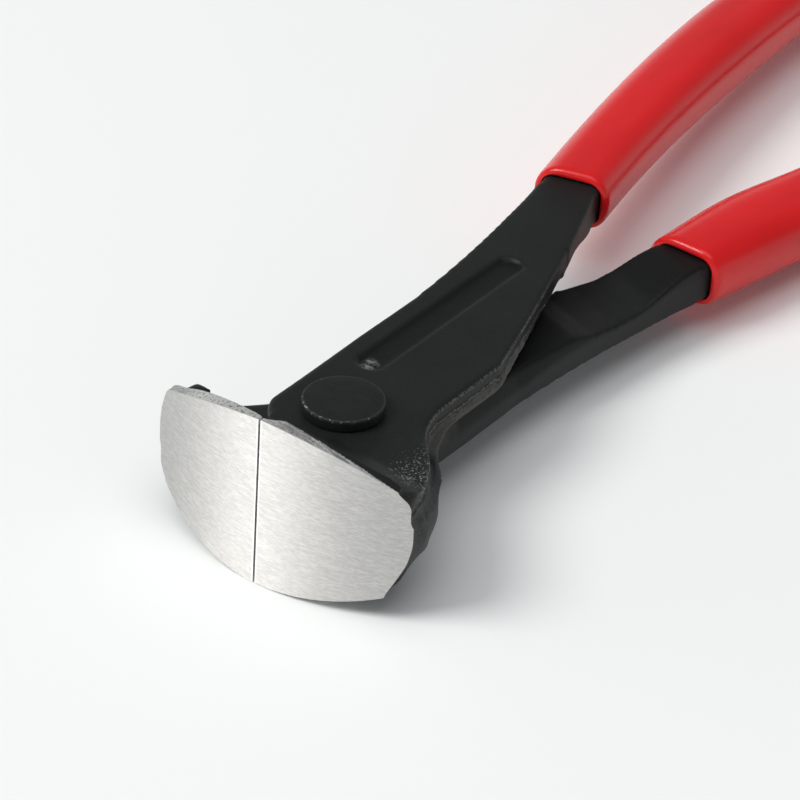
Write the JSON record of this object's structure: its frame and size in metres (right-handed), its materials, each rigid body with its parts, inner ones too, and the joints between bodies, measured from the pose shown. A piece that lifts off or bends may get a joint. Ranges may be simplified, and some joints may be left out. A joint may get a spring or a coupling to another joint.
{
  "type": "end cutting nippers",
  "caption": "Riveted hand nippers with broad end-cutting jaws ground to a bright crowned face, black forged lapped levers and red sleeved handles.",
  "frame": {"origin": "on the rivet's axis, at the flat top of its upper head", "axes": "+Z along the rivet's axis, out of its upper head; +Y from the jaws to the handles, along the tool; +X across, towards the upper lever's jaw"},
  "size_m": [0.0498, 0.2, 0.0229],
  "materials": {
    "black_forging": "forged steel with a black oxide skin, jaw faces ground bright",
    "black_rivet": "black oxide steel, rim worn bright",
    "red_sleeve": "glossy soft vinyl"
  },
  "bodies": {
    "lower_half": {"lower_lever": "black_forging", "pivot_rivet": "black_rivet", "lower_grip": "red_sleeve"},
    "upper_half": {"upper_lever": "black_forging", "upper_grip": "red_sleeve"}
  },
  "joints": [
    {"name": "jaw_hinge", "type": "hinge", "parent": "lower_half", "child": "upper_half", "pos_m": [0, 0, -0.00615], "axis": [0, 0, 1], "range_deg": [0, 38]}
  ]
}
